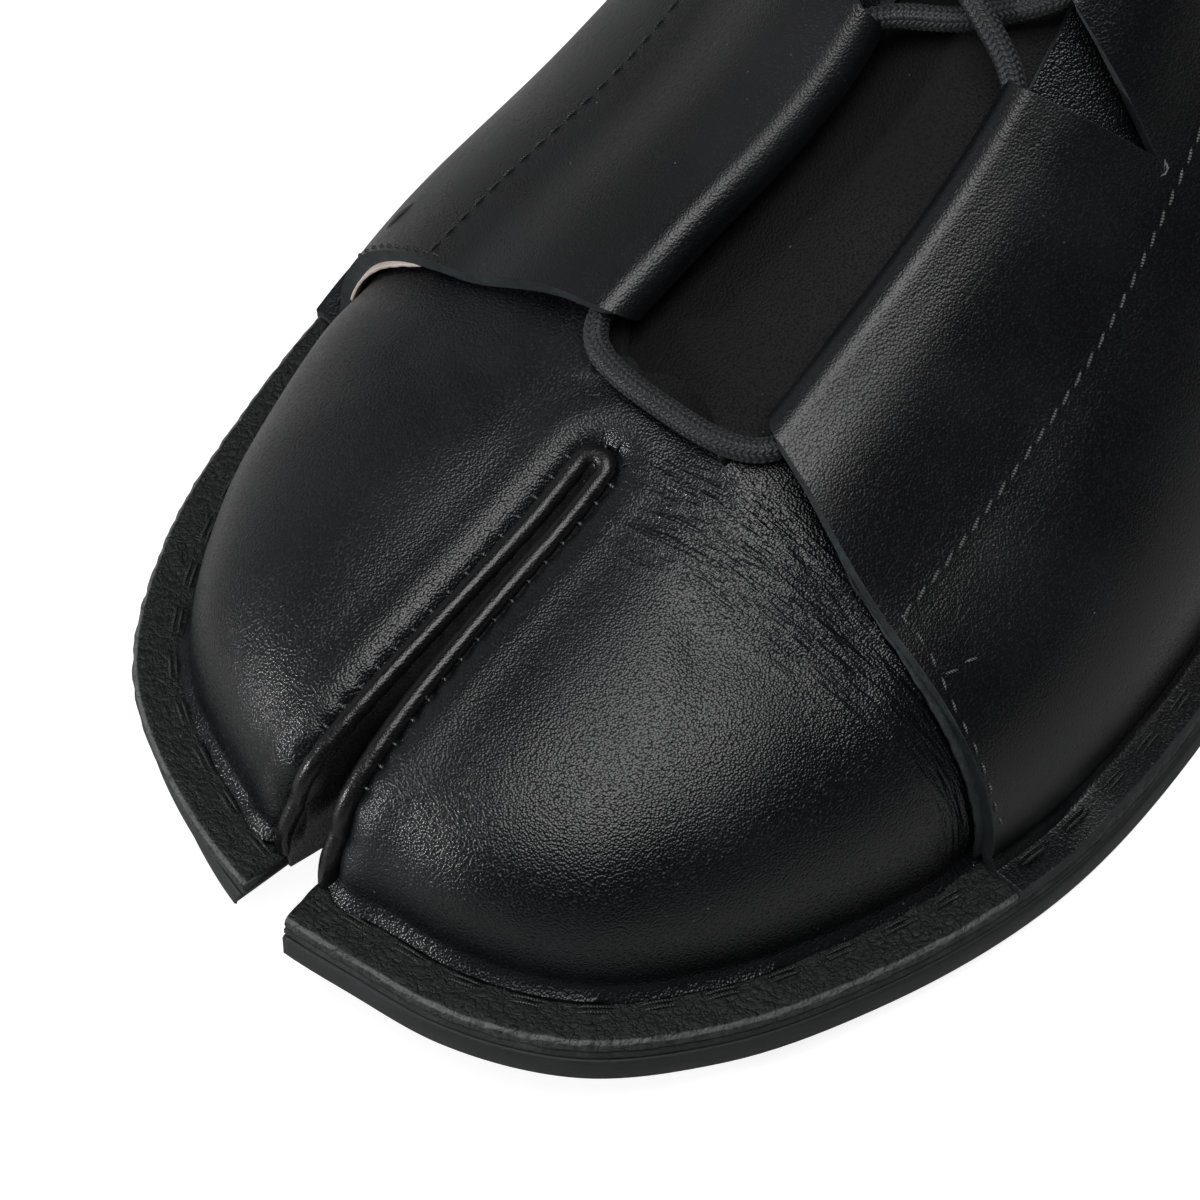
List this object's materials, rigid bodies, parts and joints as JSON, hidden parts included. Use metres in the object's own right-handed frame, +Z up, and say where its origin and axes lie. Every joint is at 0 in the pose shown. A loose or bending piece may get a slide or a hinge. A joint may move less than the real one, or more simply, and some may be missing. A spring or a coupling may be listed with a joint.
{
  "type": "split-toe lace-up ankle boot",
  "caption": "Left split-toe leather ankle boot, stitched down on a thin rubber sole, with quarters folded into lace tunnels over a plain vamp.",
  "frame": {"origin": "middle of the boot's outline, on the floor that the heel and forefoot stand on", "axes": "+X towards the toe, +Y towards the outer side of the left foot, +Z up"},
  "size_m": [0.292, 0.1145, 0.1271],
  "materials": {
    "vamp_leather": "smooth fine-grained black leather, satin",
    "quarter_leather": "smooth fine-grained black leather, satin",
    "gusset_leather": "rolled black leather, satin",
    "tongue_leather": "matte black leather",
    "insole_leather": "natural unfinished leather",
    "midsole_board": "dyed edge, matte",
    "sole_rubber": "matte black rubber",
    "heel_rubber": "matte black rubber",
    "cord": "round braided cotton cord"
  },
  "bodies": {
    "root": {"upper": "vamp_leather", "quarter_outer": "quarter_leather", "quarter_inner": "quarter_leather", "toe_gusset": "gusset_leather", "tongue": "tongue_leather", "insole": "insole_leather", "midsole": "midsole_board", "outsole": "sole_rubber", "heel": "heel_rubber", "lace": "cord"}
  },
  "joints": []
}
